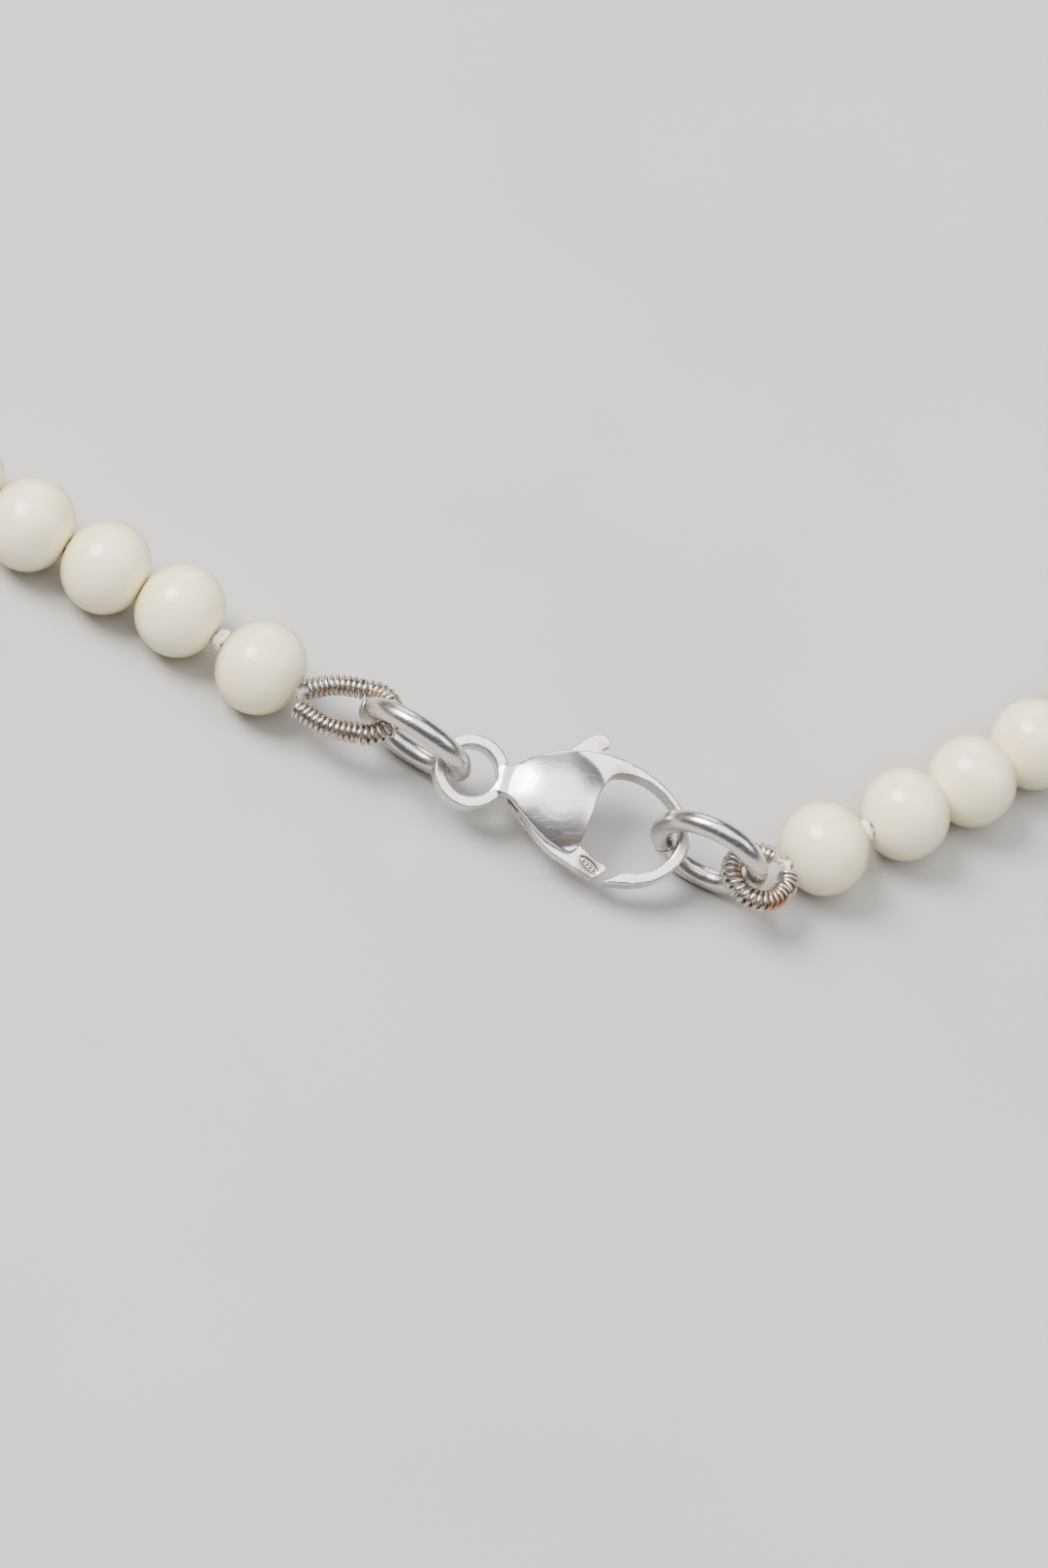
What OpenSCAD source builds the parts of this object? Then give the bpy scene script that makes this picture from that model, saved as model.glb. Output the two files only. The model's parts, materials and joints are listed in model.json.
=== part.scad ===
// Pearl necklace, fastened by its lobster clasp and laid flat as a closed loop.
// X runs across the necklace, the clasp is on the -Y side, and Z = 0 is the surface it lies on.
// Origin: centre of the necklace's outline, on that surface.

/* [Pearls] */
// Widest diameter of a pearl, across its drilled hole
pearl_d = 5; // [4:0.1:6]
// Length of a pearl along its drilled hole
pearl_len = 4.4; // [3.6:0.1:5]
// Space between two pearls that touch on the thread
pearl_gap = 0.06; // [0.04:0.01:0.1]
// Number of rigid groups of pearls between the two end pearls
groups = 22; // [18:2:24]
// Pearls in each group
per_group = 4; // [3:1:5]

/* [Silk] */
// Diameter of the doubled silk thread
silk_d = 0.6; // [0.5:0.05:0.7]
// Diameter of the single thread that loops through the gimp
silk_loop_d = 0.42; // [0.35:0.01:0.5]
// Space round the silk in a drilled hole and in the gimp
silk_clear = 0.03; // [0.03:0.01:0.05]
// Diameter of the knot beside each end pearl
knot_d = 1.35; // [1.1:0.05:1.6]
// Length of that knot along the thread
knot_len = 0.64; // [0.5:0.02:0.8]
// Space between a knot and what turns against it
knot_clear = 0.05; // [0.04:0.01:0.08]

/* [Gimp] */
// Outer diameter of the coiled wire that sheathes the silk loops
gimp_d = 1.05; // [0.9:0.05:1.2]
// Length of the left loop, from the pearl to its far bend
gimp_left_len = 4.75; // [4.4:0.05:5.6]
// Room between the left loop's bend and the ring's wire inside it
gimp_left_room = 0.27; // [0.22:0.01:0.5]
// Room between the right loop's bend and the ring's wire inside it
gimp_right_room = 0.35; // [0.25:0.01:0.6]
// Half the space between a loop's two ends at the pearl
gimp_spread = 0.6; // [0.55:0.05:0.7]
// Space between the left end pearl and the nearest edge of its gimp
gimp_left_bare = 0.1; // [0.08:0.01:0.4]
// Space between the right end pearl and the nearest edge of its gimp
gimp_right_bare = 0.5; // [0.1:0.05:0.8]

/* [Jump rings] */
// Wire diameter of both jump rings
ring_wire = 1.15; // [0.9:0.05:1.3]
// Mean diameter of the left jump ring
ring_left_d = 5.5; // [5.2:0.1:6.6]
// Mean diameter of the right jump ring
ring_right_d = 5.3; // [5:0.1:6.4]
// Slack between a jump ring and what it pulls on
ring_slack = 0.2; // [0.1:0.05:0.4]
// Room between the right jump ring and the hook's inner wall
hook_room = 0.26; // [0.24:0.01:0.5]
// How far the left jump ring leans over towards -Y, in degrees
ring_left_lean = 19; // [0:1:25]
// How far the right jump ring leans over towards -Y, in degrees
ring_right_lean = 6; // [0:1:25]

/* [Clasp] */
// Outer radius of the eye
eye_r = 1.93; // [1.85:0.01:2.2]
// Radius of the hole in the eye
eye_hole_r = 1.32; // [1.25:0.01:1.45]
// Thickness of the eye
eye_t = 1.2; // [0.9:0.1:1.4]
// Thickness of the hook
hook_t = 1.4; // [1.2:0.1:1.6]
// Greatest thickness of the domed body
body_t = 2.7; // [2.4:0.1:3]
// Radius of the sphere that shapes each dome
dome_r = 5.5; // [5:0.1:8]
// Thickness of the lever inside the body
lever_t = 0.8; // [0.7:0.05:0.9]
// Running clearance on each side of the lever
lever_clear = 0.05; // [0.03:0.01:0.08]
// Radius of the rivet that the lever turns on
rivet_r = 0.38; // [0.3:0.01:0.42]
// Wire diameter of the lever's torsion spring
spring_wire = 0.13; // [0.1:0.01:0.15]
// How far the clasp is turned over towards -Y, in degrees
clasp_tilt = 19; // [0:1:25]

/* [Layout] */
// Heading of the clasp, from its eye to its hook, in degrees from +X
clasp_heading = -13.8; // [-16:0.1:-10]
// Heading of the left jump ring
ring_left_heading = -33.9; // [-38:0.1:-30]
// Heading of the right jump ring
ring_right_heading = -28; // [-32:0.1:-22]
// Heading of the left gimp, from its pearl to its bend
gimp_left_heading = -14; // [-18:0.5:-8]
// Heading of the right gimp, from its bend to its pearl
gimp_right_heading = 34; // [30:1:38]
// Heading of the strand where it leaves the left end pearl
strand_left_heading = 139; // [135:1:145]
// Heading of the strand where it leaves the right end pearl
strand_right_heading = 26; // [20:1:32]
// Heading of the strand after the left knot
strand_start = 155; // [150:1:160]
// Heading of the strand as it comes back to the right end pearl
strand_end = -152; // [-158:1:-148]
// How much the loop is drawn out into an oval
strand_oval = 0.25; // [0:0.05:0.5]

/* [Hidden] */
names_2 = [for (i = [1:groups]) str(i < 10 ? "0" : "", i)];

$fn = 96;
pearl_r = pearl_d / 2;
silk_r = silk_d / 2;
gimp_r = gimp_d / 2;
wire_r = ring_wire / 2;
silk_loop_r = silk_loop_d / 2;
drill_r = silk_r + silk_clear;
silk_gap = 0.03; // from a hinge of the strand to the thread's end on each side
past_knot = knot_len / 2 + knot_clear - pearl_gap / 2; // how much a knot moves the pearl beside it
thread_sides = 8;
loop_sides = 16;
loop_steps = 18;
pitch = pearl_len + pearl_gap;
knot_pitch = pearl_len + knot_len + 2 * knot_clear;

function heading(a) = [cos(a), sin(a)];
function sum(list, i = 0, total = [0, 0]) = i == len(list) ? total : sum(list, i + 1, total + list[i]);
function lift(p, z) = [p[0], p[1], z];

// ---- Clasp outline, in its own plane: eye centre at 0,0, hook towards +X, lever tab towards +Y
hook_reach = 11.15; // inner wall of the hook, where the right jump ring pulls
// How far the ring curves towards the hook's wall over the hook's thickness
ring_bow = ring_right_d / 2 - sqrt(pow(ring_right_d / 2, 2) - pow(hook_t / 2, 2));
hook_pull = [hook_reach - wire_r - hook_room - ring_bow, -0.4];
eye_pull = [-(eye_hole_r - wire_r - ring_slack), 0];
pivot = [5.1, 1.0];
dome_at = [4.6, -0.2];
slot_right = 6.5; // the slot for the lever ends here, above the shoulder
shoulder = 1.3;
rivet_clear = 0.04;
spring_room = 0.155; // between the rivet and the spring round it
spring_r = rivet_r + spring_wire / 2 + spring_room;
spring_turns = 3;
spring_floor = -0.05;
spring_leg = 0.25; // how deep the spring's leg sits in the front cheek
spring_leg_angle = 200;
trigger_open = 22; // degrees the lever turns to open
outer_points = [[1.5, 0.7], [2.0, 0.85], [2.5, 1.26], [3.2, 1.75], [4.2, 2.25], [5.3, 2.55], [6.8, 2.7],
    [8.4, 2.42], [9.95, 1.75], [11.0, 0.87], [11.55, 0.1], [11.78, -0.6], [11.6, -1.55], [11.2, -2.35],
    [10.45, -3.08], [9.45, -3.55], [8.6, -3.72], [7.75, -3.86]];
inner_points = [[7.75, -3.86], [8.7, -3.1], [9.5, -2.9], [10.25, -2.48], [10.85, -1.75], [11.12, -0.9],
    [11.12, -0.2], [10.75, 0.55], [10.0, 1.25], [9.1, 1.72], [8.1, 1.88], [7.25, 1.72], [6.85, 1.2]];
flank_points = [[6.85, 1.2], [6.62, 0.5], [6.5, -0.4], [6.4, -1.4], [6.3, -2.1], [6.1, -2.62],
    [5.65, -2.85], [4.55, -2.55], [3.6, -2.0], [2.85, -1.45], [2.3, -1.02], [2.0, -0.82], [1.5, -0.7]];
slot_points = [[3.3, 4], [3.15, 1.6], [2.75, 0.6], [2.45, -0.4], [1.8, -1.4], [1.8, -5], [8.5, -5],
    [8.5, 1.3], [6.5, 1.3], [6.5, 4]];
lever_points = [[4.5, 1.9], [4.85, 2.65], [5.4, 3.28], [5.8, 3.6], [6.2, 3.68], [6.55, 3.45],
    [6.6, 3.1], [6.3, 2.88], [6.2, 2.3], [6.15, 1.5], [6.1, 0.5], [6.05, -0.5], [6.05, -1.5],
    [6.2, -2.15], [6.6, -2.4], [7.26, -2.72], [7.9, -3.05], [7.36, -3.72], [6.9, -3.68], [5.8, -3.33],
    [4.75, -2.95], [3.7, -2.2], [2.95, -1.35], [3.05, -0.7], [3.6, 0.1], [4.1, 1.0]];

// A smooth curve through the points p, with n steps in each span
function curve(p, n) = concat([for (i = [0:len(p) - 2]) for (k = [0:n - 1])
    spline(p[max(i - 1, 0)], p[i], p[i + 1], p[min(i + 2, len(p) - 1)], k / n)], [p[len(p) - 1]]);
function spline(a, b, c, d, t) = 0.5 * (2 * b + (c - a) * t + (2 * a - 5 * b + 4 * c - d) * t * t
    + (3 * b - 3 * c + d - a) * t * t * t);
function without_last(list) = [for (i = [0:len(list) - 2]) list[i]];

// ---- Where each piece lies, before the whole is centred: the eye's centre is at 0,0
gimp_left_r = wire_r + gimp_r + gimp_left_room;
gimp_right_r = wire_r + gimp_r + gimp_right_room;

// How far past the pearl's end a gimp that is turned from the pearl's hole would touch the pearl
function stand_off(turn) = let (reach = gimp_spread + gimp_r, crown = pearl_len / 2,
    past = max(0, reach * cos(turn) - (pearl_r - crown)))
    reach * abs(sin(turn)) + sqrt(crown * crown - past * past) - crown;
left_turn = strand_left_heading - 180 - gimp_left_heading;
right_turn = strand_right_heading - gimp_right_heading;
ring_left_z = ring_left_d / 2 * cos(ring_left_lean) + wire_r;
ring_right_z = ring_right_d / 2 * cos(ring_right_lean) + wire_r;
clasp_z = ring_left_z - 0.2;
function on_clasp(p) = p[0] * heading(clasp_heading) + p[1] * cos(clasp_tilt) * heading(clasp_heading + 90);
ring_left_at = on_clasp(eye_pull) - ring_left_d / 2 * heading(ring_left_heading);
ring_left_wire = ring_left_at - ring_left_d / 2 * heading(ring_left_heading);
gimp_left_end = ring_left_wire + (wire_r + gimp_r + ring_slack) * heading(gimp_left_heading);
gimp_left_base = gimp_left_end - gimp_left_len * heading(gimp_left_heading);
pearl_left_at = gimp_left_base
    + (pearl_len / 2 + stand_off(left_turn) + gimp_left_bare) * heading(strand_left_heading);
ring_right_wire = on_clasp(hook_pull) + ring_right_d * heading(ring_right_heading);
ring_right_at = on_clasp(hook_pull) + ring_right_d / 2 * heading(ring_right_heading);
gimp_right_end = ring_right_wire - (wire_r + gimp_r + ring_slack) * heading(gimp_right_heading);
gimp_right_len = 2 * gimp_right_r + 0.35;
gimp_right_base = gimp_right_end + gimp_right_len * heading(gimp_right_heading);
pearl_right_at = gimp_right_base
    + (pearl_len / 2 + stand_off(right_turn) + gimp_right_bare) * heading(strand_right_heading);

gimp_tilt_left = asin((ring_left_z - pearl_r) / gimp_left_len);
gimp_tilt_right = asin((ring_right_z - pearl_r) / gimp_right_len);

// ---- The strand between the end pearls, bent so that it closes on the clasp
count = groups * per_group;
links = count - 1;
strand_from = pearl_left_at + knot_pitch * heading(strand_left_heading);
strand_to = pearl_right_at + knot_pitch * heading(strand_right_heading);
function turned(u, a, b) = u
    + (a * sin(360 * u) + b * (1 - cos(360 * u)) + strand_oval / 2 * sin(720 * u)) / (2 * PI);
function link_heading(i, ab) = strand_start
    - (strand_start - strand_end) * turned((i + 0.5) / links, ab[0], ab[1]);
function miss(ab) = sum([for (i = [0:links - 1]) pitch * heading(link_heading(i, ab))])
    - (strand_to - strand_from);
function close_loop(ab, tries) = tries == 0 ? ab
    : let (h = 0.001, m = miss(ab), da = (miss(ab + [h, 0]) - m) / h, db = (miss(ab + [0, h]) - m) / h,
        det = da[0] * db[1] - da[1] * db[0])
    close_loop(ab - [m[0] * db[1] - m[1] * db[0], da[0] * m[1] - da[1] * m[0]] / det, tries - 1);
bends = close_loop([0.3, 0], 12);
link_headings = [for (i = [0:links - 1]) link_heading(i, bends)];
function walk(i, p, out) = i == links ? concat(out, [p]) : walk(i + 1, p + pitch * heading(link_headings[i]),
    concat(out, [p]));
strand = walk(0, strand_from, []);

// ---- Centring on the outline of the whole necklace
low = [min([for (p = strand) p[0]]) - pearl_r, min(min([for (p = strand) p[1]]) - pearl_r,
    gimp_right_end[1] + gimp_right_r * sin(gimp_right_heading) - gimp_right_r - gimp_r)];
high = [max([for (p = strand) p[0]]) + pearl_r, max([for (p = strand) p[1]]) + pearl_r];
shift = -(low + high) / 2;

// Middle points between neighbouring pearls: the joints of the thread
pearls = concat([pearl_left_at], strand, [pearl_right_at]);
middles = [for (i = [0:len(pearls) - 2]) (pearls[i] + pearls[i + 1]) / 2];

// ---- Tubes: a ring of corners round each point of p, at that point's radius, skinned into one closed solid
function unit(v) = v / norm(v);
function along(p, i) = unit((i > 0 ? unit(p[i] - p[i - 1]) : [0, 0, 0])
    + (i < len(p) - 1 ? unit(p[i + 1] - p[i]) : [0, 0, 0]));
function corners(p, radii, sides) = [for (i = [0:len(p) - 1])
    let (t = along(p, i), side = unit(cross(t, [0, 0, 1])), up = cross(side, t))
    for (k = [0:sides - 1]) p[i] + radii[i] * (cos(360 * k / sides) * side + sin(360 * k / sides) * up)];
function skin(rings, sides, from, outward) = [
    for (i = [0:rings - 2]) for (k = [0:sides - 1]) for (half = [0, 1])
    let (a = from + i * sides + k, b = from + i * sides + (k + 1) % sides,
        face = half == 0 ? [a, b, b + sides] : [a, b + sides, a + sides])
    outward ? face : [face[2], face[1], face[0]]];

module tube(p, radii, sides) {
    rings = len(p);
    polyhedron(corners(p, radii, sides), concat([[for (k = [sides - 1:-1:0]) k]],
        skin(rings, sides, 0, true), [[for (k = [0:sides - 1]) (rings - 1) * sides + k]]));
}

module hollow_tube(p, radius, bore, sides) {
    rings = len(p);
    inner = rings * sides;
    last = (rings - 1) * sides;
    polyhedron(
        concat(corners(p, [for (q = p) radius], sides), corners(p, [for (q = p) bore], sides)),
        concat(skin(rings, sides, 0, true), skin(rings, sides, inner, false),
            [for (k = [0:sides - 1]) let (n = (k + 1) % sides) [k, inner + k, inner + n, n]],
            [for (k = [0:sides - 1]) let (n = (k + 1) % sides)
                [last + k, last + n, inner + last + n, inner + last + k]]));
}

// ---- Pieces
module pearl_shape() {
    rotate_extrude()
        intersection() {
            translate([pearl_r - pearl_len / 2, 0])
                circle(d = pearl_len);
            translate([drill_r, -pearl_len])
                square([pearl_d, 2 * pearl_len]);
        }
}

// A pearl whose hole runs from point a towards point b
module pearl_between(a, b) {
    v = b - a;
    translate(lift((a + b) / 2, pearl_r))
        rotate([0, 90, atan2(v[1], v[0])])
            pearl_shape();
}

module pearl_group(g) {
    first = (g - 1) * per_group + 1;
    color("ivory")
        translate(lift(shift, 0))
            for (i = [first:first + per_group - 1])
                pearl_between(middles[i - 1] + (i == 1 ? past_knot : 0) * unit(middles[i] - middles[i - 1]),
                    middles[i] - (i == count ? past_knot : 0) * unit(middles[i] - middles[i - 1]));
}

// The doubled thread through a group, which stops short of a knot and of the hinges at its ends
module silk_group(g) {
    first = (g - 1) * per_group + 1;
    last = first + per_group - 1;
    beside_knot = knot_len / 2 + knot_clear;
    from = middles[first - 1]
        + (g == 1 ? beside_knot : silk_gap) * unit(middles[first] - middles[first - 1]);
    to = middles[last]
        - (g == groups ? beside_knot : silk_gap) * unit(middles[last] - middles[last - 1]);
    flat = concat([from], [for (i = [first:last - 1]) middles[i]], [to]);
    color("white")
        translate(lift(shift, 0))
            tube([for (q = flat) lift(q, pearl_r)], [for (q = flat) silk_r], thread_sides);
}

// Centre line of a gimp loop: legs from the base to a round bend, in the plane Z = 0
function bend_angle(length, r) = let (d = norm([length - r, gimp_spread]))
    atan2(gimp_spread, -(length - r)) - acos(r / d);

function loop_path(length, r) = let (a = bend_angle(length, r)) concat([[0, gimp_spread, 0]],
    [for (k = [0:loop_steps]) let (t = a - 2 * a * k / loop_steps) [length - r + r * cos(t), r * sin(t), 0]],
    [[0, -gimp_spread, 0]]);

module gimp_tube(length, r) {
    color("silver")
        hollow_tube(loop_path(length, r), gimp_r, silk_loop_r + silk_clear, loop_sides);
}

module at_gimp(base, way, tilt) {
    translate(lift(shift + base, pearl_r))
        rotate([0, -tilt, way])
            children();
}

module end_pearl(pearl_at, way) {
    half = pearl_len / 2 * heading(way);
    color("ivory")
        translate(lift(shift, 0))
            pearl_between(pearl_at - half, pearl_at + half);
}

// End silk: its knot, the doubled thread through the pearl, and the single thread's loop inside the gimp
function knot_radius(u) = (knot_d - knot_len) / 2 + knot_len / 2 * sqrt(1 - u * u);
function in_gimp(base, way, tilt, q) = lift(
    base + q[0] * cos(tilt) * heading(way) + q[1] * heading(way + 90), pearl_r + q[0] * sin(tilt));

module silk_end(pearl_at, way, base, gimp_way, tilt, length, r) {
    steps = [-1, -0.9, -0.6, -0.2, 0.2, 0.6, 0.9, 1];
    half = pearl_len / 2;
    stations = concat([for (u = steps) u * knot_len / 2 - knot_pitch / 2],
        [knot_len / 2 + knot_clear - knot_pitch / 2, half, half + silk_r / 2]);
    loop = [for (q = loop_path(length, r)) in_gimp(base, gimp_way, tilt, q)];
    route = concat([for (s = stations) lift(pearl_at + s * heading(way), pearl_r)], loop);
    radii = concat([for (u = steps) knot_radius(u)], [silk_r, silk_r, silk_loop_r],
        [for (q = loop) silk_loop_r]);
    color("white")
        translate(lift(shift, 0))
            tube(route, radii, loop_sides);
}

module jump_ring(at, z, way, lean, d) {
    color("silver")
        translate(lift(shift + at, z))
            rotate([0, 0, way])
                rotate([90 + lean, 0, 0])
                    rotate_extrude()
                        translate([d / 2, 0])
                            circle(r = wire_r);
}

module at_clasp() {
    translate(lift(shift, clasp_z))
        rotate([0, 0, clasp_heading])
            rotate([clasp_tilt, 0, 0])
                children();
}

module plan() {
    polygon(concat(without_last(curve(outer_points, 4)), without_last(curve(inner_points, 4)),
        curve(flank_points, 4)));
}

// The part of the outline that is hook: everything past the body's shoulder
module hook_plan() {
    intersection() {
        plan();
        union() {
            translate([slot_right, shoulder])
                square(20);
            translate([slot_right + 0.7, -10])
                square(20);
        }
    }
}

module body_plan() {
    intersection() {
        plan();
        translate([-5, -10])
            square([slot_right + 0.4 + 5, 20]);
    }
}

module between_domes() {
    intersection() {
        translate([dome_at[0], dome_at[1], body_t / 2 - dome_r])
            sphere(r = dome_r);
        translate([dome_at[0], dome_at[1], dome_r - body_t / 2])
            sphere(r = dome_r);
        children();
    }
}

module at_pivot() {
    translate([pivot[0], pivot[1], 0])
        children();
}

module clasp_body() {
    color("silver")
        at_clasp()
            difference() {
                union() {
                    difference() {
                        union() {
                            linear_extrude(hook_t, center = true)
                                body_plan();
                            between_domes()
                                linear_extrude(body_t, center = true)
                                    body_plan();
                        }
                        linear_extrude(lever_t + 2 * lever_clear, center = true)
                            polygon(slot_points);
                    }
                    linear_extrude(hook_t, center = true)
                        hook_plan();
                    cylinder(h = eye_t, r = eye_r, center = true);
                }
                cylinder(h = 2 * eye_t, r = eye_hole_r, center = true);
                at_pivot()
                    cylinder(h = 2 * body_t, r = rivet_r, center = true);
                at_pivot()
                    rotate([0, 0, spring_leg_angle])
                        translate([spring_r, 0, 0])
                            cylinder(h = lever_t / 2 + spring_leg + 0.1, r = spring_wire / 2 + 0.03);
            }
}

module rivet() {
    color("silver")
        at_clasp()
            between_domes()
                at_pivot()
                    cylinder(h = body_t, r = rivet_r, center = true);
}

module trigger_lever() {
    color("silver")
        at_clasp()
            difference() {
                linear_extrude(lever_t, center = true)
                    polygon(curve(concat(lever_points, [lever_points[0]]), 3));
                at_pivot()
                    cylinder(h = 2 * lever_t, r = rivet_r + rivet_clear, center = true);
                at_pivot()
                    translate([0, 0, spring_floor - 0.02])
                        cylinder(h = lever_t, r = spring_r + spring_wire / 2 + 0.1);
                at_pivot()
                    rotate([0, 0, spring_leg_angle + 90])
                        translate([0, 0, -lever_t])
                            rotate_extrude(angle = trigger_open + 24)
                                translate([spring_r - spring_wire, 0])
                                    square([2 * spring_wire, 2 * lever_t]);
            }
}

// Torsion spring round the rivet: one leg in the front cheek, the other in the lever
module trigger_spring() {
    color("gray")
        at_clasp()
            at_pivot() {
                translate([0, 0, spring_floor])
                    difference() {
                        cylinder(h = spring_turns * spring_wire, r = spring_r + spring_wire / 2);
                        translate([0, 0, -1])
                            cylinder(h = 2, r = spring_r - spring_wire / 2);
                    }
                rotate([0, 0, spring_leg_angle])
                    translate([spring_r, 0, spring_floor + spring_wire])
                        cylinder(h = lever_t / 2 + spring_leg - spring_floor - spring_wire,
                            d = 0.9 * spring_wire);
                rotate([0, 0, spring_leg_angle + 90 + trigger_open + 14])
                    translate([spring_r, 0, -lever_t / 2 + 0.1])
                        cylinder(h = spring_floor + lever_t / 2, d = 0.9 * spring_wire);
            }
}

module gimp_left() {
    at_gimp(gimp_left_base, gimp_left_heading, gimp_tilt_left)
        gimp_tube(gimp_left_len, gimp_left_r);
}

module gimp_right() {
    at_gimp(gimp_right_base, gimp_right_heading + 180, gimp_tilt_right)
        gimp_tube(gimp_right_len, gimp_right_r);
}

module silk_end_left() {
    silk_end(pearl_left_at, strand_left_heading + 180, gimp_left_base, gimp_left_heading,
        gimp_tilt_left, gimp_left_len, gimp_left_r);
}

module silk_end_right() {
    silk_end(pearl_right_at, strand_right_heading + 180, gimp_right_base, gimp_right_heading + 180,
        gimp_tilt_right, gimp_right_len, gimp_right_r);
}

module jump_ring_left() {
    jump_ring(ring_left_at, ring_left_z, ring_left_heading, ring_left_lean, ring_left_d);
}

module jump_ring_right() {
    jump_ring(ring_right_at, ring_right_z, ring_right_heading, ring_right_lean, ring_right_d);
}

for (g = [1:groups]) {
    pearl_group(g);
    silk_group(g);
}
end_pearl(pearl_left_at, strand_left_heading);  // end_pearl_left
end_pearl(pearl_right_at, strand_right_heading);  // end_pearl_right
silk_end_left();
silk_end_right();
gimp_left();
gimp_right();
jump_ring_left();
jump_ring_right();
clasp_body();
trigger_lever();
rivet();
trigger_spring();
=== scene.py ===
import bpy
import bmesh
import json
import math
import numpy as np
from mathutils import Vector, Matrix, noise


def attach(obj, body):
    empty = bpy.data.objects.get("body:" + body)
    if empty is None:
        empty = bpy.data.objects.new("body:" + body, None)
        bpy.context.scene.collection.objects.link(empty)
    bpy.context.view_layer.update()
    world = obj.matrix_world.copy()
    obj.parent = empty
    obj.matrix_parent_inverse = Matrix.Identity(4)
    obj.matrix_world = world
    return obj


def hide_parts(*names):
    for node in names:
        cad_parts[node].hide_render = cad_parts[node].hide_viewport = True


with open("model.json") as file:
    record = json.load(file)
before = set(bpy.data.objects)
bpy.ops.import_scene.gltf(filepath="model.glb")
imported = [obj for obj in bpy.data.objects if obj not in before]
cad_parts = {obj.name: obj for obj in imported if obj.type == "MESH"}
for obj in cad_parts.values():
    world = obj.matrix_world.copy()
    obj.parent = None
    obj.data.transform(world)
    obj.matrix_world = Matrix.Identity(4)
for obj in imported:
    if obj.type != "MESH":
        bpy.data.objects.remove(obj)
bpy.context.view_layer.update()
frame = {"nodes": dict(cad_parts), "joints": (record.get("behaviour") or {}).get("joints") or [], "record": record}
mm = 0.001
joints = {j["name"]: j for j in frame["joints"]}

# camera and lights

cameraLook = {
    "place": (-67.68, -216.46, 245.4),   # mm, in the part's frame
    "facing": (0.2302, 0.4936, -0.8387),
    "roll": 24.6,                      # degrees
    "lens": 130.4,
}


def makeCamera(look):
    facing = Vector(look["facing"]).normalized()
    level = facing.cross(Vector((0, 0, 1))).normalized()
    above = level.cross(facing).normalized()
    roll = math.radians(look["roll"])
    across = math.cos(roll) * level + math.sin(roll) * above
    up = math.cos(roll) * above - math.sin(roll) * level
    data = bpy.data.cameras.new("camera")
    data.lens = look["lens"]
    data.sensor_width = 36
    data.clip_start = 0.01
    data.clip_end = 10
    camera = bpy.data.objects.new("camera", data)
    bpy.context.scene.collection.objects.link(camera)
    turn = Matrix((across, up, -facing)).transposed().to_4x4()
    camera.matrix_world = Matrix.Translation(Vector(look["place"]) * mm) @ turn
    bpy.context.scene.camera = camera


lightLook = {
    "world": (0.80, 0.82, 0.86),
    "worldStrength": 0.20,
    # name: place in metres, size in metres, power in watts, colour
    "key": ((-0.42, 0.10, 0.62), 0.40, 12.0, (1.0, 0.98, 0.95)),
    "top": ((0.06, -0.10, 0.85), 0.90, 7.0, (1.0, 0.985, 0.96)),
    "fill": ((0.50, -0.20, 0.45), 0.40, 1.6, (0.93, 0.96, 1.0)),
    "back": ((0.05, 0.62, 0.40), 0.45, 2.2, (1.0, 0.97, 0.93)),
}


def makeLight(name, place, size, power, colour):
    data = bpy.data.lights.new(name, "AREA")
    data.shape = "DISK"
    data.size = size
    data.energy = power
    data.color = colour
    lamp = bpy.data.objects.new(name, data)
    lamp.location = place
    aim = Vector((0, -0.07, 0)) - Vector(place)
    lamp.rotation_euler = aim.to_track_quat("-Z", "Y").to_euler()
    bpy.context.scene.collection.objects.link(lamp)


makeCamera(cameraLook)
for lightName in ("key", "top", "fill", "back"):
    makeLight(lightName, *lightLook[lightName])
world = bpy.data.worlds.new("softStudio")
world.use_nodes = True
world.node_tree.nodes["Background"].inputs["Color"].default_value = (*lightLook["world"], 1)
world.node_tree.nodes["Background"].inputs["Strength"].default_value = lightLook["worldStrength"]
bpy.context.scene.world = world
print("camera and lights are in place")

# small helpers for shader trees


def addNode(tree, kind, **settings):
    made = tree.nodes.new(kind)
    for key, value in settings.items():
        setattr(made, key, value)
    return made


def wire(tree, source, target):
    tree.links.new(source, target)


def newGroup(name, inputs, outputs):
    group = bpy.data.node_groups.new(name, "ShaderNodeTree")
    for label, kind, value in inputs:
        made = group.interface.new_socket(name=label, in_out="INPUT", socket_type=kind)
        made.default_value = value
    for label, kind in outputs:
        group.interface.new_socket(name=label, in_out="OUTPUT", socket_type=kind)
    return group, addNode(group, "NodeGroupInput"), addNode(group, "NodeGroupOutput")


def placeGroup(tree, group, **values):
    made = addNode(tree, "ShaderNodeGroup", node_tree=group)
    for label, value in values.items():
        made.inputs[label].default_value = value
    return made


def mixColours(tree, mask, first, second):
    made = addNode(tree, "ShaderNodeMix", data_type="RGBA")
    wire(tree, mask, made.inputs["Factor"])
    for socket, value in ((made.inputs[6], first), (made.inputs[7], second)):
        if isinstance(value, tuple):
            socket.default_value = (*value, 1)
        else:
            wire(tree, value, socket)
    return made.outputs[2]


def mapRange(tree, value, low, high, toLow=0.0, toHigh=1.0):
    made = addNode(tree, "ShaderNodeMapRange", interpolation_type="SMOOTHSTEP")
    wire(tree, value, made.inputs["Value"])
    made.inputs["From Min"].default_value = low
    made.inputs["From Max"].default_value = high
    made.inputs["To Min"].default_value = toLow
    made.inputs["To Max"].default_value = toHigh
    return made.outputs["Result"]


def calculate(tree, operation, first, second):
    made = addNode(tree, "ShaderNodeMath", operation=operation)
    for socket, value in ((made.inputs[0], first), (made.inputs[1], second)):
        if isinstance(value, (int, float)):
            socket.default_value = value
        else:
            wire(tree, value, socket)
    return made.outputs[0]


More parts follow.
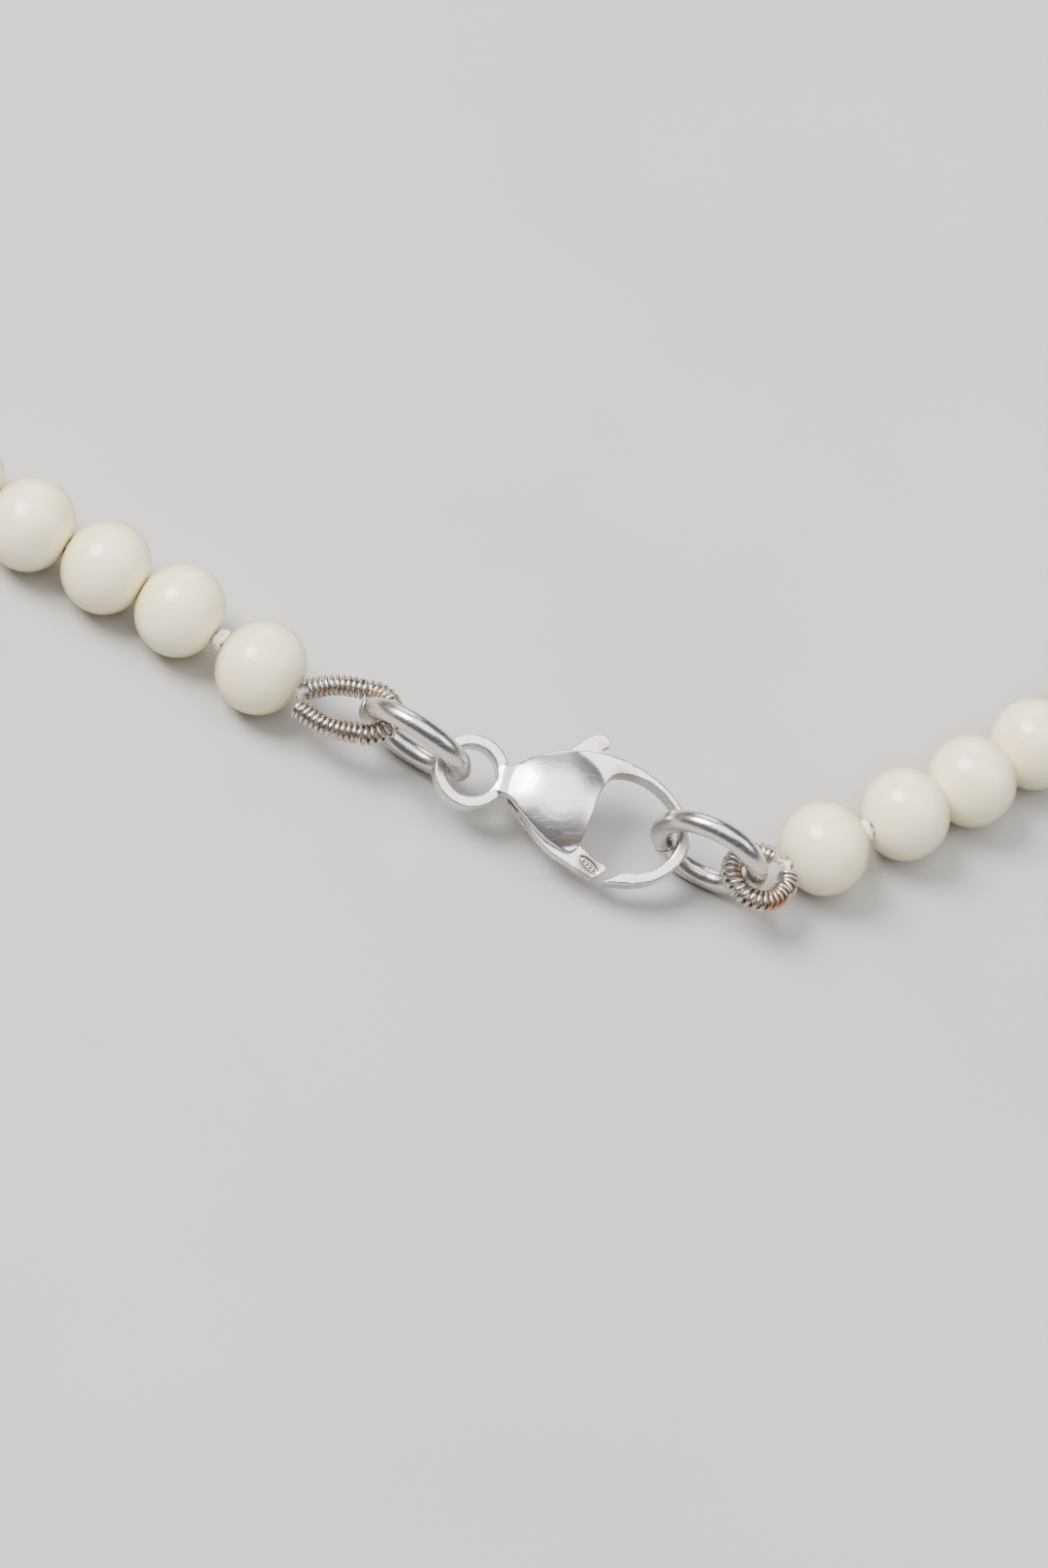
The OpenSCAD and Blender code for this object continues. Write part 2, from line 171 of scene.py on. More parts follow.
def bumpFrom(tree, height, strength, distance):
    made = addNode(tree, "ShaderNodeBump")
    made.inputs["Strength"].default_value = strength
    made.inputs["Distance"].default_value = distance
    wire(tree, height, made.inputs["Height"])
    return made.outputs["Normal"]


# soft patches of any size, as a mask
patches, groupIn, groupOut = newGroup(
    "softPatches",
    [("Scale", "NodeSocketFloat", 800.0), ("Low", "NodeSocketFloat", 0.4), ("High", "NodeSocketFloat", 0.6)],
    [("Mask", "NodeSocketFloat")])
spot = addNode(patches, "ShaderNodeTexCoord")
cloud = addNode(patches, "ShaderNodeTexNoise")
cloud.inputs["Detail"].default_value = 4.0
cloud.inputs["Roughness"].default_value = 0.55
wire(patches, spot.outputs["Object"], cloud.inputs["Vector"])
wire(patches, groupIn.outputs["Scale"], cloud.inputs["Scale"])
shaped = addNode(patches, "ShaderNodeMapRange", interpolation_type="SMOOTHSTEP")
wire(patches, cloud.outputs["Fac"], shaped.inputs["Value"])
wire(patches, groupIn.outputs["Low"], shaped.inputs["From Min"])
wire(patches, groupIn.outputs["High"], shaped.inputs["From Max"])
wire(patches, shaped.outputs["Result"], groupOut.inputs["Mask"])

# hairline scratches in two directions
scratches, groupIn, groupOut = newGroup(
    "hairlines",
    [("Scale", "NodeSocketFloat", 900.0), ("Amount", "NodeSocketFloat", 0.5)],
    [("Height", "NodeSocketFloat"), ("Mask", "NodeSocketFloat")])
spot = addNode(scratches, "ShaderNodeTexCoord")
both = None
for turn, stretch in ((0.5, 9.0), (1.9, 13.0)):
    lay = addNode(scratches, "ShaderNodeMapping")
    lay.inputs["Rotation"].default_value = (0.3, 0.2, turn)
    lay.inputs["Scale"].default_value = (1.0, stretch, 1.0)
    grit = addNode(scratches, "ShaderNodeTexNoise")
    grit.inputs["Detail"].default_value = 3.0
    wire(scratches, spot.outputs["Object"], lay.inputs["Vector"])
    wire(scratches, lay.outputs["Vector"], grit.inputs["Vector"])
    wire(scratches, groupIn.outputs["Scale"], grit.inputs["Scale"])
    thin = mapRange(scratches, grit.outputs["Fac"], 0.56, 0.74)
    both = thin if both is None else calculate(scratches, "MAXIMUM", both, thin)
scaled = calculate(scratches, "MULTIPLY", both, groupIn.outputs["Amount"])
wire(scratches, scaled, groupOut.inputs["Height"])
wire(scratches, scaled, groupOut.inputs["Mask"])

# a stain or worn place round one point, with a broken edge
stain, groupIn, groupOut = newGroup(
    "wornPlace",
    [("Centre", "NodeSocketVector", (0, 0, 0)), ("Radius", "NodeSocketFloat", 0.001),
     ("Ragged", "NodeSocketFloat", 0.6)],
    [("Mask", "NodeSocketFloat")])
spot = addNode(stain, "ShaderNodeTexCoord")
away = addNode(stain, "ShaderNodeVectorMath", operation="DISTANCE")
wire(stain, spot.outputs["Object"], away.inputs[0])
wire(stain, groupIn.outputs["Centre"], away.inputs[1])
near = calculate(stain, "DIVIDE", away.outputs["Value"], groupIn.outputs["Radius"])
cloud = addNode(stain, "ShaderNodeTexNoise")
cloud.inputs["Scale"].default_value = 1400.0
cloud.inputs["Detail"].default_value = 4.0
wire(stain, spot.outputs["Object"], cloud.inputs["Vector"])
rough = calculate(stain, "SUBTRACT", cloud.outputs["Fac"], 0.5)
rough = calculate(stain, "MULTIPLY", rough, groupIn.outputs["Ragged"])
edge = calculate(stain, "ADD", near, rough)
wire(stain, mapRange(stain, edge, 0.35, 1.0, 1.0, 0.0), groupOut.inputs["Mask"])
print("shared shader groups are built")


def newMaterial(name):
    made = bpy.data.materials.new(name)
    made.use_nodes = True
    return made, made.node_tree, made.node_tree.nodes["Principled BSDF"]


nacreLook = {
    "body": (0.99, 0.90, 0.68),
    "cloud": (0.96, 0.85, 0.57),
    # rim colour: partly the pearl's olive overtone, partly painted shade that darkens the edges
    "overtoneEdgeShade": (0.50, 0.41, 0.15),
    # peach colour: partly the pearl's pink overtone, partly a painted reflection of warm surroundings
    "peachTintReflection": (0.95, 0.72, 0.54),
    "roughness": 0.36,
    "coat": 0.55,
}


def makeNacre(look):
    made, tree, skin = newMaterial("nacre")
    cloud = placeGroup(tree, patches, Scale=420.0, Low=0.38, High=0.66)
    peachTintReflection = placeGroup(tree, patches, Scale=230.0, Low=0.50, High=0.72)
    rings = placeGroup(tree, patches, Scale=2600.0, Low=0.30, High=0.75)
    facing = addNode(tree, "ShaderNodeLayerWeight")
    facing.inputs["Blend"].default_value = 0.42
    base = mixColours(tree, cloud.outputs["Mask"], look["body"], look["cloud"])
    # painted reflection: a peach tint in random patches, partly the pearl's own overtone
    soft = calculate(tree, "MULTIPLY", peachTintReflection.outputs["Mask"], 0.35)
    base = mixColours(tree, soft, base, look["peachTintReflection"])
    # painted shade: toward the edges seen from the camera the colour turns dark olive, partly the pearl's overtone
    overtoneEdgeShade = mapRange(tree, facing.outputs["Facing"], 0.25, 0.95, 0.0, 0.85)
    base = mixColours(tree, overtoneEdgeShade, base, look["overtoneEdgeShade"])
    wire(tree, base, skin.inputs["Base Color"])
    low = look["roughness"]
    wire(tree, mapRange(tree, rings.outputs["Mask"], 0.0, 1.0, low, low + 0.08), skin.inputs["Roughness"])
    skin.inputs["Coat Weight"].default_value = look["coat"]
    skin.inputs["Coat Roughness"].default_value = 0.14
    skin.inputs["Coat IOR"].default_value = 1.6
    skin.inputs["Subsurface Weight"].default_value = 0.12
    skin.inputs["Subsurface Radius"].default_value = (1.0, 0.8, 0.6)
    skin.inputs["Subsurface Scale"].default_value = 0.0006
    wire(tree, bumpFrom(tree, rings.outputs["Mask"], 0.05, 0.00004), skin.inputs["Normal"])
    return made


silverLook = {
    "bright": (0.74, 0.71, 0.69),
    "dull": (0.50, 0.46, 0.44),
    "copper": (0.62, 0.40, 0.30),
}
ringSilverLook = {
    "bright": (0.62, 0.59, 0.57),
    "dull": (0.34, 0.30, 0.28),
}


def makeSilver(name, look, roughness, stains, hairlineScale=900.0):
    made, tree, skin = newMaterial(name)
    dull = placeGroup(tree, patches, Scale=650.0, Low=0.46, High=0.76)
    lines = placeGroup(tree, scratches, Scale=hairlineScale, Amount=0.8)
    fine = placeGroup(tree, patches, Scale=5200.0, Low=0.25, High=0.8)
    half = calculate(tree, "MULTIPLY", dull.outputs["Mask"], 0.30)
    base = mixColours(tree, half, look["bright"], look["dull"])
    marked = dull.outputs["Mask"]
    for centre, radius, colour, amount in stains:
        worn = placeGroup(tree, stain, Centre=centre, Radius=radius, Ragged=0.4)
        part = calculate(tree, "MULTIPLY", worn.outputs["Mask"], amount)
        base = mixColours(tree, part, base, colour)
        marked = calculate(tree, "MAXIMUM", marked, part)
    wire(tree, base, skin.inputs["Base Color"])
    rough = mapRange(tree, marked, 0.0, 1.0, roughness, roughness + 0.10)
    rough = calculate(tree, "ADD", rough, calculate(tree, "MULTIPLY", lines.outputs["Mask"], 0.12))
    wire(tree, rough, skin.inputs["Roughness"])
    skin.inputs["Metallic"].default_value = 1.0
    relief = calculate(tree, "ADD", lines.outputs["Height"], fine.outputs["Mask"])
    wire(tree, bumpFrom(tree, relief, 0.08, 0.00002), skin.inputs["Normal"])
    return made


gimpLook = {
    "plated": (0.54, 0.49, 0.44),
    "copper": (0.50, 0.27, 0.17),
    "dark": (0.15, 0.10, 0.08),
}


def makeGimpWire(name, look, worn):
    made, tree, skin = newMaterial(name)
    rubbed = placeGroup(tree, patches, Scale=1500.0, Low=0.50, High=0.68)
    lines = placeGroup(tree, scratches, Scale=3000.0, Amount=0.6)
    mask = calculate(tree, "MULTIPLY", rubbed.outputs["Mask"], 0.75)
    for centre, radius, amount in worn:
        place = placeGroup(tree, stain, Centre=centre, Radius=radius, Ragged=1.1)
        mask = calculate(tree, "MAXIMUM", mask, calculate(tree, "MULTIPLY", place.outputs["Mask"], amount))
    base = mixColours(tree, mask, look["plated"], look["copper"])
    grime = placeGroup(tree, patches, Scale=3800.0, Low=0.62, High=0.8)
    base = mixColours(tree, grime.outputs["Mask"], base, look["dark"])
    wire(tree, base, skin.inputs["Base Color"])
    wire(tree, mapRange(tree, mask, 0.0, 1.0, 0.22, 0.36), skin.inputs["Roughness"])
    skin.inputs["Metallic"].default_value = 1.0
    wire(tree, bumpFrom(tree, lines.outputs["Height"], 0.2, 0.00002), skin.inputs["Normal"])
    return made


silkLook = {
    "thread": (0.92, 0.91, 0.88),
    "shadow": (0.72, 0.69, 0.63),
}


def makeSilk(look):
    made, tree, skin = newMaterial("twistedSilk")
    fibres = placeGroup(tree, scratches, Scale=4200.0, Amount=1.0)
    tone = placeGroup(tree, patches, Scale=1800.0, Low=0.4, High=0.7)
    base = mixColours(tree, tone.outputs["Mask"], look["thread"], look["shadow"])
    wire(tree, base, skin.inputs["Base Color"])
    wire(tree, mapRange(tree, fibres.outputs["Mask"], 0.0, 1.0, 0.55, 0.75), skin.inputs["Roughness"])
    skin.inputs["Sheen Weight"].default_value = 0.6
    skin.inputs["Sheen Roughness"].default_value = 0.35
    wire(tree, bumpFrom(tree, fibres.outputs["Height"], 0.5, 0.00004), skin.inputs["Normal"])
    return made


floorLook = {
    "paper": (0.50, 0.49, 0.48),
    "shade": (0.47, 0.46, 0.45),
}


def makeFloor(look):
    made, tree, skin = newMaterial("palePaper")
    tone = placeGroup(tree, patches, Scale=30.0, Low=0.3, High=0.7)
    pale = mixColours(tree, tone.outputs["Mask"], look["paper"], look["shade"])
    wire(tree, pale, skin.inputs["Base Color"])
    skin.inputs["Roughness"].default_value = 0.9
    skin.inputs["Specular IOR Level"].default_value = 0.2
    mesh = bpy.data.meshes.new("studioFloor")
    reach = 3.0
    mesh.from_pydata([(-reach, -reach, 0), (reach, -reach, 0), (reach, reach, 0), (-reach, reach, 0)], [],
                     [(0, 1, 2, 3)])
    mesh.materials.append(made)
    sheet = bpy.data.objects.new("studioFloor", mesh)
    bpy.context.scene.collection.objects.link(sheet)


makeFloor(floorLook)
print("materials are ready")

# small helpers for meshes


def linkPiece(name, mesh, material, body, slotName, *nodes):
    mesh.materials.clear()
    mesh.materials.append(material)
    mesh.polygons.foreach_set("use_smooth", [True] * len(mesh.polygons))
    piece = bpy.data.objects.new(name, mesh)
    bpy.context.scene.collection.objects.link(piece)
    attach(piece, body)
    if nodes:
        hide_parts(*nodes)
    return piece


def meshFrom(name, vertices, faces):
    mesh = bpy.data.meshes.new(name)
    mesh.from_pydata([tuple(v) for v in vertices], [], faces)
    mesh.update()
    return mesh


def ringFaces(rings, sides, closed, start=0):
    faces = []
    for i in range(rings if closed else rings - 1):
        for k in range(sides):
            n = (k + 1) % sides
            a = start + i * sides
            b = start + (i + 1) % rings * sides
            faces.append((a + k, a + n, b + n, b + k))
    return faces


# a round tube along points, in metres; its ends are closed unless it is a loop
def sweep(points, radii, sides, closed=False):
    p = np.array(points, float)
    count = len(p)
    if closed:
        ways = np.roll(p, -1, 0) - np.roll(p, 1, 0)
    else:
        ways = np.gradient(p, axis=0)
    ways /= np.linalg.norm(ways, axis=1)[:, None]
    side = np.cross(ways[0], (0.0, 0.0, 1.0))
    if np.linalg.norm(side) < 0.1:
        side = np.cross(ways[0], (0.0, 1.0, 0.0))
    vertices = []
    for i in range(count):
        side = side - ways[i] * np.dot(side, ways[i])
        side /= np.linalg.norm(side)
        up = np.cross(ways[i], side)
        for k in range(sides):
            a = 2 * math.pi * k / sides
            vertices.append(p[i] + radii[i] * (math.cos(a) * side + math.sin(a) * up))
    faces = ringFaces(count, sides, closed)
    if not closed:
        faces.append(tuple(reversed(range(sides))))
        faces.append(tuple(range((count - 1) * sides, count * sides)))
    return vertices, faces


def joinShapes(shapes):
    vertices = []
    faces = []
    for newVertices, newFaces in shapes:
        start = len(vertices)
        vertices.extend(newVertices)
        faces.extend(tuple(i + start for i in f) for f in newFaces)
    return vertices, faces


# evenly spaced points along a line of points
def resample(points, step):
    p = np.array(points, float)
    lengths = np.concatenate([[0], np.cumsum(np.linalg.norm(np.diff(p, axis=0), axis=1))])
    count = max(2, int(round(lengths[-1] / step)) + 1)
    at = np.linspace(0, lengths[-1], count)
    return np.stack([np.interp(at, lengths, p[:, k]) for k in range(3)], 1), lengths[-1]


# winds round a line, offset from it; phase and lay as a thread's ply or a coil's turn
def windRound(line, offset, turns, phase, normal):
    p = np.array(line, float)
    ways = np.gradient(p, axis=0)
    ways /= np.linalg.norm(ways, axis=1)[:, None]
    up = np.array(normal, float)
    out = []
    for i in range(len(p)):
        side = np.cross(ways[i], up)
        side /= np.linalg.norm(side)
        top = np.cross(side, ways[i])
        a = phase + 2 * math.pi * turns[i]
        out.append(p[i] + offset * (math.cos(a) * side + math.sin(a) * top))
    return np.array(out)


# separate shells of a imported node: centre and main directions, least spread first
def measureShells(node):
    solid = bmesh.new()
    solid.from_mesh(frame["nodes"][node].data)
    bmesh.ops.remove_doubles(solid, verts=solid.verts, dist=1e-7)
    solid.verts.ensure_lookup_table()
    shells = []
    seen = set()
    for first in solid.verts:
        if first in seen:
            continue
        stack = [first]
        seen.add(first)
        part = []
        while stack:
            v = stack.pop()
            part.append(v)
            for e in v.link_edges:
                other = e.other_vert(v)
                if other not in seen:
                    seen.add(other)
                    stack.append(other)
        faces = {f for v in part for f in v.link_faces}
        areas = np.array([f.calc_area() for f in faces])
        centres = np.array([f.calc_center_median() for f in faces])
        centre = (areas[:, None] * centres).sum(0) / areas.sum()
        off = centres - centre
        spread = (areas[:, None, None] * off[:, :, None] * off[:, None, :]).sum(0)
        ways = np.linalg.eigh(spread)[1].T
        shells.append((centre, ways, np.array([v.co for v in part])))
    solid.free()
    return shells


# pearls

pearlLook = {
    "bore": 0.33,          # mm
    "chamfer": 0.05,       # mm, where the drill broke the skin
    "unevenness": 0.014,   # how far from round, as a share
    "rows": 44,
    "sides": 64,
    "rowsFar": 26,
    "sidesFar": 36,
    "closeCount": 6,       # pearls from each end that get the finer mesh
}
groupCount = len([n for n in frame["nodes"] if n.startswith("pearls_")])


def readPearls():
    centres = [measureShells("end_pearl_left")[0][0]]
    owners = ["end_pearl_left"]
    for g in range(1, groupCount + 1):
        node = "pearls_%02d" % g
        left = [s[0] for s in measureShells(node)]
        while left:
            left.sort(key=lambda c: np.linalg.norm(c - centres[-1]))
            centres.append(left.pop(0))
            owners.append(node)
    centres.append(measureShells("end_pearl_right")[0][0])
    owners.append("end_pearl_right")
    return np.array(centres), owners


def pearlShape(centre, way, half, radius, seed, rows, sides):
    bore = pearlLook["bore"] * mm
    lip = pearlLook["chamfer"] * mm
    crown = radius - half
    start = math.asin(min(1.0, (bore + lip - crown) / half))
    profile = [(0.0, bore), (half * 0.7, bore), (half - lip, bore)]
    for r in range(rows + 1):
        a = start + (math.pi - 2 * start) * r / rows
        profile.append((half * math.cos(a), crown + half * math.sin(a)))
    profile += [(-half + lip, bore), (-half * 0.7, bore)]
    side = np.cross((0.0, 0.0, 1.0), way)
    side /= np.linalg.norm(side)
    up = np.cross(way, side)
    vertices = []
    for axial, radial in profile:
        for k in range(sides):
            a = 2 * math.pi * k / sides
            spot = axial * way + radial * (math.cos(a) * side + math.sin(a) * up)
            if radial > bore * 1.05:
                at = Vector(spot) / half * 0.9 + Vector((seed * 7.3, seed * 3.1, seed * 1.7))
                low = 0.5 + 0.5 * max(-1.0, min(1.0, noise.noise(at) * 1.6))
                fineAt = Vector(spot) / half * 3.1 + Vector((seed * 2.3, 0, 0))
                fine = 0.5 + 0.5 * max(-1.0, min(1.0, noise.noise(fineAt)))
                spot = spot * (1 - pearlLook["unevenness"] * low - 0.0022 * fine)
            vertices.append(centre + spot)
    faces = [tuple(reversed(f)) for f in ringFaces(len(profile), sides, True)]
    return vertices, faces


pearlCentres, pearlOwners = readPearls()
endShell = measureShells("end_pearl_left")[0]
pearlWays = []
for i in range(len(pearlCentres)):
    before = pearlCentres[max(i - 1, 0)]
    after = pearlCentres[min(i + 1, len(pearlCentres) - 1)]
    way = after - before
    pearlWays.append(way / np.linalg.norm(way))
offsets = endShell[2] - endShell[0]
endWay = pearlWays[0]
pearlHalf = np.abs(offsets @ endWay).max()
pearlRadius = np.linalg.norm(offsets - np.outer(offsets @ endWay, endWay), axis=1).max()
nacre = makeNacre(nacreLook)


def bodyOf(node):
    for body, members in frame["record"]["behaviour"]["bodies"].items():
        if node in members:
            return body


def makePearls():
    for node in sorted(set(pearlOwners)):
        shapes = []
        for i, owner in enumerate(pearlOwners):
            if owner != node:
                continue
            close = min(i, len(pearlOwners) - 1 - i) < pearlLook["closeCount"]
            rows = pearlLook["rows"] if close else pearlLook["rowsFar"]
            sides = pearlLook["sides"] if close else pearlLook["sidesFar"]
            shapes.append(pearlShape(pearlCentres[i], pearlWays[i], pearlHalf, pearlRadius, i + 1.0,
                                     rows, sides))
        vertices, faces = joinShapes(shapes)
        name = "strung_" + node
        linkPiece(name, meshFrom(name, vertices, faces), nacre, bodyOf(node), "pearl", node)


makePearls()
print("pearls are strung:", len(pearlOwners))

# silk and gimp

gimpLeft = {
    "base": (-12.357, -69.279, 2.5),   # mm
    "heading": -14.0,
    "tilt": 8.17,
    "length": 4.75,
    "bend": 1.37,
    "bow": 0.30,
    "wire": 0.235,
    "pitch": 0.29,
    "longer": 0.30,                    # the lower leg runs this much nearer the pearl
}
gimpRight = {
    "base": (12.217, -77.514, 2.5),
    "heading": 214.0,
    "tilt": 12.63,
    "length": 3.25,
    "bend": 1.45,
    "bow": 0.22,
    "wire": 0.24,
    "pitch": 0.30,
    "longer": 0.0,
}
loopLook = {
    "outer": 1.12,         # mm, across a gimp
    "spread": 0.6,         # mm, half the space between the two legs at the pearl
    "thread": 0.42,        # mm, the looped thread
    "loopLay": 0.95,       # mm, one turn of its two plies
}
threadLook = {
    "size": 0.56,          # mm, the doubled thread inside the pearls
    "lay": 1.3,            # mm, one turn of its two plies
    "reach": 0.96,         # share of a pearl's half length where a group's thread starts
}


# directions of a gimp loop: away from its pearl, and across
def loopWays(g):
    h = math.radians(g["heading"])
    t = math.radians(g["tilt"])
    along = Vector((math.cos(h) * math.cos(t), math.sin(h) * math.cos(t), math.sin(t)))
    return Vector(g["base"]), along, Vector((-math.sin(h), math.cos(h), 0))


# centre line of a gimp loop, from the upper leg round the bend to the lower leg, in metres
def loopLine(g, extra):
    r = g["bend"]
    spread = loopLook["spread"]
    straight = g["length"] - r
    reach = math.hypot(straight, spread)
    turn = math.atan2(spread, -straight) - math.acos(r / reach)
    bendAt = (straight + r * math.cos(turn), r * math.sin(turn))
    leg = []
    for k in range(12):
        s = k / 12
        out = g["bow"] * math.sin(math.pi * s)
        leg.append((bendAt[0] * s, spread + (bendAt[1] - spread) * s + out))
    flat = list(leg)
    for k in range(41):
        a = turn - 2 * turn * k / 40
        flat.append((straight + r * math.cos(a), r * math.sin(a)))
    flat += [(x, -y) for x, y in reversed(leg)]
    flat.append((-extra - 0.01, -spread + extra * 0.35))
    base, along, across = loopWays(g)
    points = [(base + along * x + across * y) * mm for x, y in flat]
    return points, along.cross(across)


def coilOfWire(g, seed):
    points, normal = loopLine(g, g["longer"])
    fine, total = resample(points, g["pitch"] * mm / 22)
    share = np.linspace(0, 1, len(fine))
    # turns open up a little round the bend, most at the far side
    loosen = 1 - 0.16 * np.exp(-((share - 0.52) / 0.13) ** 2)
    wander = np.array([noise.noise(Vector((s * 31.0, seed, 0.0))) for s in share])
    rate = loosen * (1 + 0.10 * wander)
    turns = np.cumsum(rate) * (total / (g["pitch"] * mm)) / len(fine)
    offset = (loopLook["outer"] - g["wire"]) / 2 * mm
    coil = windRound(fine, offset, turns, 0.4 + seed, normal)
    return sweep(coil, [g["wire"] / 2 * mm] * len(coil), 8)


def twoPly(points, size, lay, normal, turnsFrom=0.0):
    line, total = resample(points, lay / 26)
    turns = turnsFrom + np.linspace(0, total / lay, len(line))
    shapes = []
    for phase in (0.0, math.pi):
        ply = windRound(line, size * 0.22, turns, phase, normal)
        shapes.append(sweep(ply, [size * 0.27] * len(ply), 10))
    return shapes


# the knot between an end pearl and its neighbour: wraps of thread crossed by one strand
def knotShapes(centre, way, seed):
    side = np.cross((0.0, 0.0, 1.0), way)
    side /= np.linalg.norm(side)
    up = np.cross(way, side)
    shapes = []
    for part in range(3):
        wraps = []
        for k in range(121):
            s = k / 120
            a = 2 * math.pi * (1.55 * s + part * 0.36) + seed
            lean = 0.135 * math.sin(a + part * 2.1) + (s - 0.5) * 0.10
            swell = 0.42 + 0.05 * math.sin(3 * a + part)
            swell *= 0.55 + 0.45 * math.sin(math.pi * min(1.0, max(0.0, s * 1.04)))
            wraps.append(centre + mm * (lean * way + swell * (math.cos(a) * side + math.sin(a) * up)))
        for phase in (0.0, math.pi):
            turns = np.linspace(0, 5.0, len(wraps))
            ply = windRound(wraps, 0.06 * mm, turns, phase, way)
            shapes.append(sweep(ply, [0.105 * mm] * len(ply), 8))
    return shapes


silk = makeSilk(silkLook)


def makeSilkEnd(side, node, g, index, neighbour):
    towards = pearlCentres[index] - pearlCentres[neighbour]
    towards /= np.linalg.norm(towards)
    knotAt = (pearlCentres[index] + pearlCentres[neighbour]) / 2
    mouth = pearlCentres[index] + towards * (pearlHalf + 0.12 * mm)
    inside = pearlCentres[index] - towards * (pearlHalf + 0.30 * mm)
    shapes = knotShapes(knotAt, towards, 0.9 if side == "Left" else 2.2)
    shapes += twoPly([inside, mouth - towards * 0.25 * mm], threadLook["size"] * mm, threadLook["lay"] * mm,
                     (0, 0, 1))
    loop, normal = loopLine(g, 0.0)
    start = pearlCentres[index] + towards * (pearlHalf - 0.35 * mm)
    route = [start + np.array((0, 0, 0.06 * mm)), mouth + np.array((0, 0, 0.08 * mm))]
    route += [np.array(p) for p in loop] + [mouth - np.array((0, 0, 0.14 * mm)), start]
    # rounds the corners where the thread leaves the hole
    smooth = resample(route, 0.06 * mm)[0]
    for _ in range(7):
        smooth[1:-1] = (smooth[:-2] + 2 * smooth[1:-1] + smooth[2:]) / 4
    shapes += twoPly(smooth, loopLook["thread"] * mm * 0.95, loopLook["loopLay"] * mm, normal)
    vertices, faces = joinShapes(shapes)
    name = "silkLoop" + side
    linkPiece(name, meshFrom(name, vertices, faces), silk, bodyOf(node), "silk", node)


def worldPoint(g, x, y, z=0.0):
    base, along, across = loopWays(g)
    spot = base + along * x + across * y + along.cross(across) * z
    return tuple(spot * mm)


gimpWireLeft = makeGimpWire("gimpWireLeft", gimpLook, [
    (worldPoint(gimpLeft, 4.6, 0.0, -0.3), 0.0013, 0.95),
    (worldPoint(gimpLeft, 2.6, -1.6, -0.3), 0.0011, 0.8),
    (worldPoint(gimpLeft, 1.2, -1.1, -0.4), 0.0007, 0.6)])
gimpWireRight = makeGimpWire("gimpWireRight", gimpLook, [
    (worldPoint(gimpRight, 1.8, 1.9, -0.2), 0.0013, 0.9),
    (worldPoint(gimpRight, 2.9, 0.9, -0.4), 0.0009, 0.75)])
for side, node, g, material, seed in (
        ("Left", "gimp_left", gimpLeft, gimpWireLeft, 1.0),
        ("Right", "gimp_right", gimpRight, gimpWireRight, 4.0)):
    vertices, faces = coilOfWire(g, seed)
    name = "gimpCoil" + side
    linkPiece(name, meshFrom(name, vertices, faces), material, bodyOf(node), "gimp", node)
last = len(pearlCentres) - 1
makeSilkEnd("Left", "silk_end_left", gimpLeft, 0, 1)
makeSilkEnd("Right", "silk_end_right", gimpRight, last, last - 1)

# the thread inside the pearls, two plies in each group
for g in range(1, groupCount + 1):
    members = [i for i, owner in enumerate(pearlOwners) if owner == "pearls_%02d" % g]
    ends = []
    for i in members:
        ends.append(pearlCentres[i] - pearlWays[i] * pearlHalf * threadLook["reach"])
        ends.append(pearlCentres[i] + pearlWays[i] * pearlHalf * threadLook["reach"])
    name = "strungThread_%02d" % g
    vertices, faces = joinShapes(twoPly(ends, threadLook["size"] * mm, threadLook["lay"] * mm, (0, 0, 1)))
    linkPiece(name, meshFrom(name, vertices, faces), silk, "strand_%02d" % g, "silk", "silk_%02d" % g)
print("silk, knots and gimp are made")

# clasp

claspRoll = joints["clasp_roll"]
eyeAt = Vector(claspRoll["pos_m"])
claspAlong = Vector(claspRoll["axis"]).normalized()
claspNormal = Vector(joints["trigger_pivot"]["axis"]).normalized()
claspAcross = claspNormal.cross(claspAlong).normalized()


def fromClasp(u, v, w):
    return tuple(eyeAt + (claspAlong * u + claspAcross * v + claspNormal * w) * mm)


castLook = {
    "voxel": 0.055,        # mm
    "rounds": 24,          # passes that soften the cast edges
    "leverVoxel": 0.04,
    "leverRounds": 16,
}


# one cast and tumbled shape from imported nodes: every edge softened, the outline kept
def castCopy(nodes, name, voxel, rounds):
    mesh = frame["nodes"][nodes[0]].data.copy()
    solid = bmesh.new()
    for node in nodes:
        solid.from_mesh(frame["nodes"][node].data)
    bmesh.ops.remove_doubles(solid, verts=solid.verts, dist=1e-7)
    bmesh.ops.scale(solid, vec=(1000, 1000, 1000), verts=solid.verts)
    solid.to_mesh(mesh)
    solid.free()
    carrier = bpy.data.objects.new(name + "Carrier", mesh)
    bpy.context.scene.collection.objects.link(carrier)
    grid = carrier.modifiers.new("grid", "REMESH")
    grid.mode = "VOXEL"
    grid.voxel_size = voxel
    tumble = carrier.modifiers.new("tumble", "SMOOTH")
    tumble.factor = 0.5
    tumble.iterations = rounds
    bpy.context.view_layer.update()
    graph = bpy.context.evaluated_depsgraph_get()
    made = bpy.data.meshes.new_from_object(carrier.evaluated_get(graph))
    bpy.data.objects.remove(carrier)
    made.transform(Matrix.Scale(mm, 4))
    made.name = name
    return made


def claspCoordinates(mesh):
    co = np.zeros(len(mesh.vertices) * 3)
    mesh.vertices.foreach_get("co", co)
    co = co.reshape(-1, 3)
    axes = np.array([claspAlong, claspAcross, claspNormal])
    return co, (co - np.array(eyeAt)) @ axes.T / mm


def smoothStep(x, low, high):
    t = np.clip((x - low) / (high - low), 0, 1)
    return t * t * (3 - 2 * t)


cartoucheLook = {
    "centre": (6.95, -3.12),   # mm in the clasp's plane
    "angle": -31.0,
    "length": 1.30,
    "width": 0.50,
    "depth": 0.055,
    "dots": 4,
}
tabLook = {
    "centre": (6.0, 3.22),
    "size": 0.5,
    "depth": 0.02,
}


